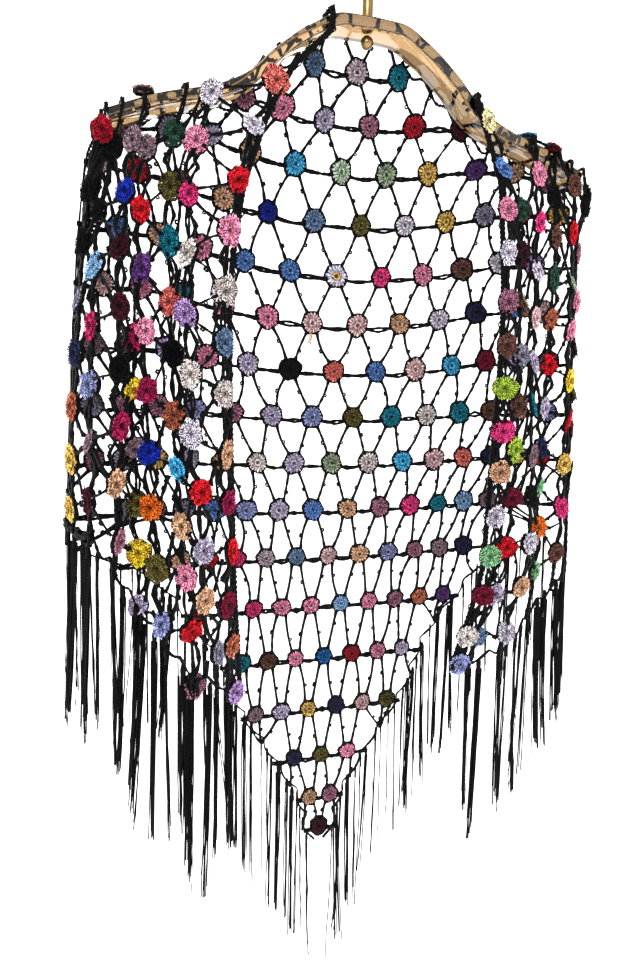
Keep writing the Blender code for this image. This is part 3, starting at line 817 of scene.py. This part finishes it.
def work_bar(piece, start, end, lift=0.0, slack=0.0012, radius=BAR_RADIUS):
    """Two strands side by side between two places on the flat cloth, crossing and parting."""
    t, line, aside = course(start, end, BAR_STEP)
    bow = np.sin(math.pi * t) * slack * chance.uniform(-0.6, 1.4) * math.copysign(1, aside[1])
    phase = chance.uniform(0, 2 * math.pi)
    part = chance.uniform(*BAR_PARTING)
    for sign in (-1, 1):
        apart = part + BAR_WEAVE * np.sin(2 * math.pi * 1.3 * t + phase)
        apart = sign * apart * np.sin(math.pi * t) ** 0.5
        flat = line + aside * (apart + bow)[:, None]
        height = lift + sign * BAR_WEAVE * np.cos(2 * math.pi * 2 * t + phase)
        ply = np.column_stack([flat, height])
        piece.worked(ply, flared(t, radius, 0.35), **BAR_STITCH)


def work_knot(piece, at, aside, lift):
    """A small loop of chain standing beside a strand."""
    here, across, down, normal, _ = (part[0] for part in lie_of_cloth(piece.panel, at[:1], at[1:]))
    out = across * aside[0] + down * aside[1]
    middle = here + normal * lift + out * KNOT_RADIUS * chance.choice((-1, 1))
    steps = np.linspace(0, 2 * math.pi, 6)
    across_knot = unit(np.cross(out, normal)) * chance.uniform(0.7, 1.3)
    ring = middle + KNOT_RADIUS * (np.cos(steps)[:, None] * out + np.sin(steps)[:, None] * across_knot)
    piece.strand(ring, normal, CHAIN_RADIUS * chance.uniform(0.55, 0.95), sides=3)


def work_chain(piece, start, end, lift=0.0, knot=True, radius=CHAIN_RADIUS):
    """One thin chain between two places, a little bowed, with its knotted loop."""
    t, line, aside = course(start, end, CHAIN_STEP)
    bow = np.sin(math.pi * t) * chance.normal(0, CHAIN_BOW)
    flat = line + aside * bow[:, None]
    chain = np.column_stack([flat, np.full(len(t), lift)])
    piece.worked(chain, flared(t, radius, 0.6), **CHAIN_STITCH)
    if knot:
        work_knot(piece, flat[round((len(t) - 1) * chance.uniform(0.36, 0.62))], aside, lift)


# The back hangs with its wrong side to the inside, so seen from the front its rosettes are flat
# discs in black hexagons. Rows run across, each a little shorter than the one above, to the point.
ROW_DEPTH = (  # row from the top, depth at the middle of the back
    (0, 0.031),
    (2, 0.106),
    (4, 0.199),
    (10, 0.468),
    (15, 0.723),
    (16, 0.757),
)
ROW_COUNTS = (31, 30, 27, 26, 23, 22, 19, 18, 15, 14, 11, 10, 7, 6, 3, 2, 1)
ROW_PITCH = (  # row from the top, distance between rosettes at the middle
    (0, 0.0440),
    (2, 0.0500),
    (4, 0.0480),
    (6, 0.0445),
    (8, 0.0385),
    (10, 0.0325),
    (12, 0.0297),
    (14, 0.0285),
    (15, 0.0215),
)
PITCH_LOSS = 0.055
LEAST_PITCH = 0.0255
ROSETTE_RADIUS = (0.0097, 0.0082)
SMALLER_FROM = 6
SMALLER_OVER = 6
BACK_CHART = (  # row by row, the place of the first rosette named, and the rosettes from left to right
    (-1.0, "fxt"),
    (-1.5, "PLuad"),
    (-2.0, "TSjgGq"),
    (-2.5, "TBfoWGy"),
    (-3.0, "PccWHPnW"),
    (-3.5, "tPPppTWNc"),
    (-3.0, "PLKCcpSk"),
    (-3.5, "buLbotwtn"),
    (-4.0, "LTwLgwSpCN"),
    (-4.5, "ycbLcTuHtse"),
    (-4.0, "RHxfpTbueN"),
    (-3.5, "kHPPsPurq"),
    (-3.0, "tnPzaPL"),
    (-2.5, "eLGNpo"),
    (-1.0, "NoP"),
    (-0.5, "Tu"),
    (0.0, "d"),
)
TOP_BORDER, BACK_BORDER = 0.0015, 0.0012
HEM_FROM, HEM_NEAR, HEM_TO = BACK_HEM[0][0], 0.43, 0.770
EDGE_DROP = 0.030  # how far down a row's last chain meets the hem
STRIP_NEAR = 0.075  # from a rosette up to the strip, for a chain to be worked to it
BACK_SCALLOP = (0.006, 0.0296)  # depth and width
OTHER_YARNS = "WPLTcSmGuRyneVbtkp"


def across_back(row, n):
    """Distance of the nth rosette of a row from the back's centre line."""
    pitch = read_one(ROW_PITCH, row)
    s, left = 0.0, abs(n)
    m, step = (0.25, 0.5) if n != int(n) else (0.5, 1.0)
    while left > 1e-9:
        s += step * max(pitch * (1 - PITCH_LOSS * m), min(pitch, LEAST_PITCH))
        left -= step
        m += (step + 1) / 2
        step = 1.0
    return math.copysign(s, n)


def back_hem_half(depth):
    return read_one(BACK_HEM, depth)


def start_at(panel, s):
    return float(start_depth(panel, np.array([s]))[0])


back = Crochet("back")
back_rows = []
for row, count in enumerate(ROW_COUNTS):
    depth = read_one(ROW_DEPTH, row)
    smaller = float(ease(np.array([(row - SMALLER_FROM) / SMALLER_OVER]))[0])
    radius = ROSETTE_RADIUS[0] + (ROSETTE_RADIUS[1] - ROSETTE_RADIUS[0]) * smaller
    first, letters = BACK_CHART[row]
    offset = 0.0 if count % 2 else 0.5
    places = {}
    for i in range(-8, 9):
        n = i + offset
        s = across_back(row, n)
        fits = abs(s) < back_hem_half(depth) - radius - 0.0045
        if abs(n) <= (count - 1) / 2 and fits and depth > start_at("back", s) + 0.006:
            places[n] = (s, depth, radius)
    back_rows.append(places)
    for n, (s, d, r) in places.items():
        index = int(n - first)
        named = 0 <= index < len(letters) and n >= first
        letter = letters[index] if named else OTHER_YARNS[int(chance.integers(len(OTHER_YARNS)))]
        work_rosette(back, s, d, r, letter, eye="G" if (row, n) == (4, 0) else None)

s, d, r = back_rows[5][-0.5]
tail = [(s - 0.002 - 0.0003 * k, d + r * 0.9 + 0.0021 * k, -0.0016) for k in range(6)]
for shift in (0.0, 0.0016):
    back.worked(np.array(tail) + [shift, shift, 0], 0.0009, dye=yarn_colour("T"), kind=1)
for row, places in enumerate(back_rows):
    order = sorted(places)
    for n in order:
        s, d, r = places[n]
        if n + 1 in places:
            s2 = places[n + 1][0]
            work_bar(back, (s + r * 0.9, d + r * 0.35), (s2 - r * 0.9, d + r * 0.35))
        for sign in (-1, 1):
            neighbour = n + sign * 0.5
            corner = (s + sign * r * 0.50, d + r * 0.85)
            if row + 1 < len(back_rows) and neighbour in back_rows[row + 1]:
                s2, d2, r2 = back_rows[row + 1][neighbour]
                work_chain(back, corner, (s2 - sign * r2 * 0.45, d2 - r2 * 0.85))
            elif row + 1 < len(back_rows):
                low = min(d + EDGE_DROP, HEM_TO)
                work_chain(back, corner, (math.copysign(back_hem_half(low), n if n else sign), low))
            if row == 0 or neighbour not in back_rows[row - 1]:
                s2 = s + sign * r * 1.5
                if abs(s2) < BACK_HALF and d - start_at("back", s2) < STRIP_NEAR:
                    over = 0.0 if NECK_REACH[0] < s2 < NECK_REACH[1] else TURN
                    edge = (s2, start_at("back", s2) - over)
                    work_chain(back, (s + sign * r * 0.5, d - r * 0.85), edge)
    for n, sign in ((order[0], -1), (order[-1], 1)):
        s, d, r = places[n]
        edge = back_hem_half(d) if d > HEM_NEAR else BACK_HALF
        if sign * s < edge and d - start_at("back", edge) > 0.0:
            work_bar(back, (s + sign * r * 0.9, d + r * 0.35), (sign * edge, d + r * 0.35))

for sign in (-1, 1):
    for below, swing in ((0.004, 0.003), (0.013, 0.004)):
        along = np.linspace(0.045, BACK_HALF, 120)
        start = start_depth("back", sign * along)
        ripple = swing * np.sin(along * 230 + chance.uniform(0, 6))
        rippled = np.column_stack([sign * along, start + below + ripple, 0 * along])
        back.worked(rippled, TOP_BORDER, beads=0.3)
for sign in (-1, 1):
    hem = []
    for d in np.linspace(HEM_FROM, HEM_TO + 0.001, 130):
        inward = BACK_SCALLOP[0] * (1 - abs(math.sin(math.pi * (d - HEM_FROM) / BACK_SCALLOP[1])))
        hem.append((sign * max(back_hem_half(d) - inward, 0.0), d, 0.0))
    back.worked(hem, BACK_BORDER, beads=0.25)
    side = [(sign * BACK_HALF * 0.999, d, 0.0) for d in np.linspace(0.115, HEM_FROM, 110)]
    back.worked(side, BACK_BORDER, beads=0.25)

back_piece = back.finish("back_net", "black_net_yarn", "shawl_back")

# The fronts are the shawl's two ends, turned down so that their rows run up and down in folds.
# Their right side shows, with full rosettes, and gathered rows lie one behind another.
FRONT_ROWS = {  # mm: across at the top and low down, first depth, pitch, layer's height; yarns from the top
    "left": (
        (4, 3, 65, 41.3, 3, "CWRPwfwTMRkrV"),
        (50, 14, 78, 44.0, 2, "WPHwVwWRLTy"),
        (74, 30, 115, 42.3, -3, "DotCKrSTPRu"),
        (98, 56, 131, 45.0, 1, "eRqPMBOob"),
        (110, 100, 81, 42.5, 3, "peBddKMTu"),
        (92, 78, 271, 41.6, -2, "MYeoYL"),
        (141, 137, 131, 44.0, 1, "KKsMbed"),
        (172, 160, 118, 41.0, 2, "aKKyNrGG"),
    ),
    "right": (
        (2, 2, 72, 38.1, 3, "icPWunlHTWmkw"),
        (30, 12, 140, 43.6, -3, "DdnynlkRLf"),
        (57, 35, 69, 41.6, 2, "SPHWpLteKWTW"),
        (85, 70, 84, 39.0, 0, "RKnDrRLNmOm"),
        (125, 102, 115, 43.1, 2, "nRgPYRGHn"),
        (165, 150, 130, 42.0, 1, "KuPdokN"),
    ),
}
SHOWN_FROM, SHOWN_TO = 60.0, 540.0
FRONT_RADIUS = 0.0093
COLUMN_RADIUS = 0.0013
ODD_ROSETTES = (  # front, across, depth and yarn of rosettes that stand outside the rows
    ("right", 0.003, 0.556, "b"),
)
UNEVEN = 0.0015
FRONT_NEAR = 0.062  # from a rosette up to the strip, for a bar to be worked to it
JOINED_WITHIN, JOINED_BEYOND = 0.045, 0.012  # apart in depth at most, and across at least
SCALLOP = (0.008, 0.022)  # depth and width
FRONT_BORDER = 0.0013
BUNCHES = (  # front, across, depth and half sizes of a place where the black net is drawn up, and strands
    ("left", 0.166, 0.150, 0.016, 0.030, 34),
    ("left", 0.180, 0.420, 0.014, 0.020, 26),
    ("left", 0.150, 0.430, 0.018, 0.014, 14),
    ("right", 0.150, 0.300, 0.014, 0.030, 14),
    ("right", 0.176, 0.120, 0.012, 0.010, 12),
)


def front_hem(hand, s):
    return read_one(FRONT_HEM[hand], s / FRONT_FLAT)


for hand, rows in FRONT_ROWS.items():
    front = Crochet(hand)
    columns = []
    for top, low, first, pitch, height, letters in rows:
        column = []
        for k, letter in enumerate(letters):
            depth = (first + k * pitch) / 1000
            share = (depth * 1000 - SHOWN_FROM) / (SHOWN_TO - SHOWN_FROM)
            s = (top + (low - top) * share) / 1000 + chance.normal(0, UNEVEN)
            s = min(max(s, 0.001), FRONT_FLAT - 0.006)
            depth += chance.normal(0, UNEVEN)
            if depth < front_hem(hand, s) + 0.010:
                column.append((s, depth, height / 1000))
                work_rosette(front, s, depth, FRONT_RADIUS, letter, lift=height / 1000)
        columns.append(column)
    radius = FRONT_RADIUS
    for column in columns:
        for (s, d, h), (s2, d2, _) in zip(column, column[1:]):
            below, above = (s, d + radius * 0.8), (s2, d2 - radius * 0.8)
            work_bar(front, below, above, lift=h - 0.001, slack=0.004, radius=COLUMN_RADIUS)
            beside = chance.choice((-1, 1)) * chance.uniform(0.005, 0.009)
            waist = (min(max((s + s2) / 2 + beside, 0.0), FRONT_FLAT), (d + d2) / 2)
            work_chain(front, below, waist, lift=h - 0.001)
            work_chain(front, waist, above, lift=h - 0.001, knot=False)
        s, d, h = column[0]
        up = start_at(hand, s) - TURN
        if d - up < FRONT_NEAR:
            work_bar(front, (s, up), (s, d - radius * 0.8), lift=0.0002, radius=COLUMN_RADIUS)
        s, d, h = column[-1]
        work_bar(front, (s, d + radius * 0.8), (s, front_hem(hand, s)), lift=0.0)
    for part, s, d, letter in ODD_ROSETTES:
        if part == hand:
            work_rosette(front, s, d, FRONT_RADIUS, letter)
            work_bar(front, (s, d - radius * 0.7), (s + 0.002, d - 0.026))
    ordered = sorted(columns, key=lambda column: np.mean([place[0] for place in column]))
    for one, two in zip(ordered, ordered[1:]):
        for s, d, h in one:
            for s2, d2, h2 in sorted(two, key=lambda place: abs(place[1] - d))[:2]:
                if abs(d2 - d) < JOINED_WITHIN and s2 - s > JOINED_BEYOND:
                    out, rise = radius * 0.75, radius * 0.5 * np.sign(d2 - d)
                    ends = (s + out, d + rise), (s2 - out, d2 - rise)
                    thick = chance.uniform(0.7, 1.15) * CHAIN_RADIUS
                    work_chain(front, *ends, lift=(h + h2) / 2, radius=thick)
    for s, d, h in ordered[-1]:
        for rise in (-0.6, 0.6):
            edge = (FRONT_FLAT, d + radius * rise * 2)
            work_chain(front, (s + radius * 0.7, d + radius * rise), edge)
    for s, d, h in ordered[0]:
        work_bar(front, (0.0, d + 0.002), (s, d + 0.002))
    line = np.linspace(0, FRONT_FLAT, 150)
    sag = SCALLOP[0] * (1 - np.abs(np.sin(math.pi * line / SCALLOP[1])))
    hem = np.array([(s, front_hem(hand, s) - up, 0.0) for s, up in zip(line, sag)])
    front.worked(hem, FRONT_BORDER, beads=0.25)
    for part, s, d, wide, tall, strands in BUNCHES:
        for _ in range(strands if part == hand else 0):
            ends = chance.uniform(-1, 1, (2, 2)) * (wide, tall) + (s, d)
            ends[:, 0] = np.clip(ends[:, 0], 0.0, FRONT_FLAT)
            ends[:, 1] = np.minimum(ends[:, 1], front_hem(hand, s) - 0.004)
            rise = chance.uniform(-0.004, 0.002)
            work_bar(front, *ends, lift=rise, slack=0.006, radius=COLUMN_RADIUS)
    side = [(FRONT_FLAT, d, 0.0) for d in np.linspace(0.115, front_hem(hand, FRONT_FLAT), 110)]
    front.worked(side, FRONT_BORDER, beads=0.25)
    piece = front.finish(f"front_net_{hand}", "black_net_yarn", f"front_{hand}")

# The long edge is bound by a thick plaited band, which runs down both fronts and behind the neck.
# Small loops stand along it where the last row was caught.
BAND_REACH = 0.0034
PLAIT_LENGTH = 0.013
PLAIT_RADIUS = 0.0014
PLAIT_WIDE, PLAIT_DEEP = 0.0017, 0.0007
SIDE_LOOP = (0.0036, 0.0048)  # how far a side loop stands out, least and most
LOOP_EVERY = 7


def plait(piece, places, name):
    """Three strands plaited along a line of flat places, with small loops beside them."""
    flat = np.array(places)
    here, _, _, normal, _ = lie_of_cloth(piece.panel, flat[:, 0], flat[:, 1])
    run = run_along(here)
    aim = unit(np.gradient(here, axis=0))
    aside = unit(np.cross(aim, normal))
    outward = unit(here - hang(piece.panel, flat[:, 0] + 0.002, flat[:, 1]))
    middle = here + outward * (0.0 if name == "neck" else BAND_REACH) + normal * PLAIT_RADIUS
    for k in range(3):
        phase = 2 * math.pi * (run / PLAIT_LENGTH + k / 3)
        weave = aside * (PLAIT_WIDE * np.sin(phase))[:, None]
        weave = weave + normal * (PLAIT_DEEP * np.sin(2 * phase))[:, None]
        piece.strand(middle + weave, normal, PLAIT_RADIUS, sides=5, beads=0.12, bead_length=0.0036)
    for at in range(6, len(run) - 6, LOOP_EVERY):
        side = aside[at] * chance.choice((-1, 1))
        tip = middle[at] + side * chance.uniform(*SIDE_LOOP)
        loop = [middle[at - 2] + side * 0.0018, tip, middle[at + 2] + side * 0.0018]
        piece.strand(loop, normal[at - 1 : at + 2], 0.0007, sides=4)


for hand in SIDE_NAMES:
    band = Crochet(hand)
    stops = np.linspace(start_at(hand, 0) - TURN, front_hem(hand, 0), 260)
    plait(band, [(0.0, d) for d in stops], hand)
    band.finish(f"front_band_{hand}", "black_edge_band", f"edge_band_{hand}")
neck = Crochet("back")
plait(neck, [(s, start_at("back", s) + 0.0005) for s in np.linspace(*NECK_REACH, 110)], "neck")
neck.finish("neck_band", "black_edge_band")

# The fringe is looped through the two short sides: tassels of fine black thread, each knotted at
# the hem and hanging free, a few threads longer than the rest and slightly kinked.
THREAD_RADIUS = 0.00076
THREAD_SPACING = 0.00048
STRAY_SHARE = 0.16
HEAD = (  # drop below the hem, radius, of a full tassel's knotted head
    (-0.0012, 0.0014),
    (0.0040, 0.0024),
    (0.0090, 0.0019),
    (0.0130, 0.0022),
)
FULL_TASSEL = 9
THICK_FROM = 0.86  # share of the left front's hem after which its tassels are thicker
FACING = (0.0, 1.0, 0.0)


def work_fringe(name, node, panel, places, lengths, pitch, threads, seed):
    """Tassels along a line of flat places on a hem, thick and thin ones by turns."""
    loose = np.random.default_rng(seed)
    fringe = Crochet(panel)
    flat = np.array(places)
    line = hang(panel, flat[:, 0], flat[:, 1])
    run = run_along(line)
    count = int(run[-1] / pitch)
    for k in range(count):
        at = (k + 0.5 + loose.uniform(-0.3, 0.3)) / count * run[-1]
        root, ahead = (
            np.array([np.interp(place, run, line[:, axis]) for axis in range(3)])
            for place in (at, min(at + 0.004, run[-1]))
        )
        flow = unit(np.array([ahead[0] - root[0] + 1e-6, ahead[1] - root[1], 0.0]))
        root[2] += loose.uniform(0.0, 0.006)
        many = int(loose.choice(threads))
        if name == "front_tassels_left" and at > run[-1] * THICK_FROM:
            many += FULL_TASSEL
        longest = lengths[0] + (lengths[1] - lengths[0]) * at / run[-1]
        length = longest * loose.uniform(0.80, 1.05)
        sway = np.array([loose.normal(0, 0.004), loose.normal(0, 0.003), 0.0])
        thick = 0.4 + 0.6 * min(many / FULL_TASSEL, 1.0)
        head = root - np.array([(0, 0, drop) for drop, _ in HEAD])
        fringe.strand(head, FACING, thick * np.array([radius for _, radius in HEAD]), sides=6)
        for j in range(many):
            spread = ((j + 0.5) / many - 0.5) * THREAD_SPACING * many
            stray = loose.random() < STRAY_SHARE
            own = length * (loose.uniform(1.02, 1.12) if stray else loose.uniform(0.86, 1.0))
            t = np.linspace(0, 1, 9)
            kink = np.cumsum(loose.normal(0, 0.0007 if stray else 0.00028, (9, 2)), axis=0)
            fall = root - np.array((0, 0, 1.0)) * (0.008 + t[:, None] * (own - 0.008))
            fall = fall + flow * (spread * (1 - 0.3 * t))[:, None] + sway * (t**1.5)[:, None]
            fall[:, :2] += kink + loose.normal(0, 0.00025, 2)
            slim = THREAD_RADIUS * (1 - 0.2 * t) * (0.55 if stray else 1.0)
            fringe.strand(fall, FACING, slim, sides=3)
    fringe.finish(name, "black_fringe_yarn", node)


for hand, side in SIDE_NAMES.items():
    hem = [(s, front_hem(hand, s)) for s in np.linspace(0.002, FRONT_FLAT * 0.98, 60)]
    name, node = f"front_tassels_{hand}", f"fringe_front_{hand}"
    work_fringe(name, node, hand, hem, (0.178, 0.155), 0.0150, (6, 10, 13, 16), 20 + side)
    hem = [(side * back_hem_half(d), d) for d in np.linspace(0.450, 0.772, 80)]
    name, node = f"back_tassels_{hand}", f"fringe_back_{hand}"
    work_fringe(name, node, "back", hem, (0.158, 0.166), 0.0135, (1, 2, 4, 7, 9), 30 + side)

# The shawl is photographed from a little to one side against plain white, in soft even light.
# The floor is a pale sheet that curves up behind; the camera stands at the picture's own angle.
FLOOR_HEIGHT = -1.30
LIT_MIDDLE = Vector((0, 0, -0.45))
CAMERA_AT = Vector((-0.2603, -0.6355, -0.4054))
CAMERA_LENS = 28.9
CAMERA_PAN, CAMERA_TILT, CAMERA_ROLL = 0.3422, -0.1102, -0.0201

start_fresh()
bpy.ops.mesh.primitive_plane_add(size=1, location=(0, 0, FLOOR_HEIGHT))
floor = bpy.context.object
floor.name = "pale_sweep"
floor.scale = (14, 9, 1)
place_in_mesh(floor)
bpy.ops.object.mode_set(mode="EDIT")
bpy.ops.mesh.select_all(action="DESELECT")
bpy.ops.object.mode_set(mode="OBJECT")
for edge in floor.data.edges:
    edge.select = all(floor.data.vertices[k].co.y > 4 for k in edge.vertices)
bpy.ops.object.mode_set(mode="EDIT")
for move in ((0, 0.6, 0.25), (0, 0.3, 0.8), (0, 0, 6.0)):
    bpy.ops.mesh.extrude_region_move(TRANSFORM_OT_translate={"value": move})
bpy.ops.object.mode_set(mode="OBJECT")
curved = floor.modifiers.new("curve", "SUBSURF")
curved.levels = 3
curved.render_levels = 3
apply_all(floor)
floor.data.shade_smooth()
pale = Finish("pale paper", Base_Color=(0.93, 0.93, 0.93, 1), Roughness=0.9, Emission_Strength=0.9)
pale.set("Emission Color", (1.0, 1.0, 1.0, 1))
floor.data.materials.append(pale.material)

world = bpy.data.worlds.new("soft white")
world.use_nodes = True
background = world.node_tree.nodes["Background"].inputs
background["Color"].default_value = (1, 1, 1, 1)
background["Strength"].default_value = 1.0
bpy.context.scene.world = world
bpy.context.scene.view_settings.view_transform = "Standard"
for name, place, power, size in (
    ("key", (-1.1, -2.2, 0.9), 50, 0.9),
    ("fill", (1.6, -1.8, 0.0), 8, 1.8),
    ("rim", (0.3, 2.2, 0.9), 20, 1.6),
):
    lamp = bpy.data.lights.new(name, "AREA")
    lamp.energy = power
    lamp.size = size
    holder = bpy.data.objects.new(name, lamp)
    holder.location = place
    aim = LIT_MIDDLE - Vector(place)
    holder.rotation_euler = aim.to_track_quat("-Z", "Y").to_euler()
    bpy.context.collection.objects.link(holder)

forward = Vector((
    math.sin(CAMERA_PAN) * math.cos(CAMERA_TILT),
    math.cos(CAMERA_PAN) * math.cos(CAMERA_TILT),
    math.sin(CAMERA_TILT),
))
level = Vector((math.cos(CAMERA_PAN), -math.sin(CAMERA_PAN), 0))
upward = level.cross(forward)
right = level * math.cos(CAMERA_ROLL) - upward * math.sin(CAMERA_ROLL)
top = level * math.sin(CAMERA_ROLL) + upward * math.cos(CAMERA_ROLL)
eye = bpy.data.cameras.new("eye")
eye.lens = CAMERA_LENS
eye.sensor_width = 36
eye.clip_start = 0.01
stand = bpy.data.objects.new("eye", eye)
turned = Matrix((right, top, -forward)).transposed().to_4x4()
stand.matrix_world = Matrix.Translation(CAMERA_AT) @ turned
bpy.context.collection.objects.link(stand)
bpy.context.scene.camera = stand
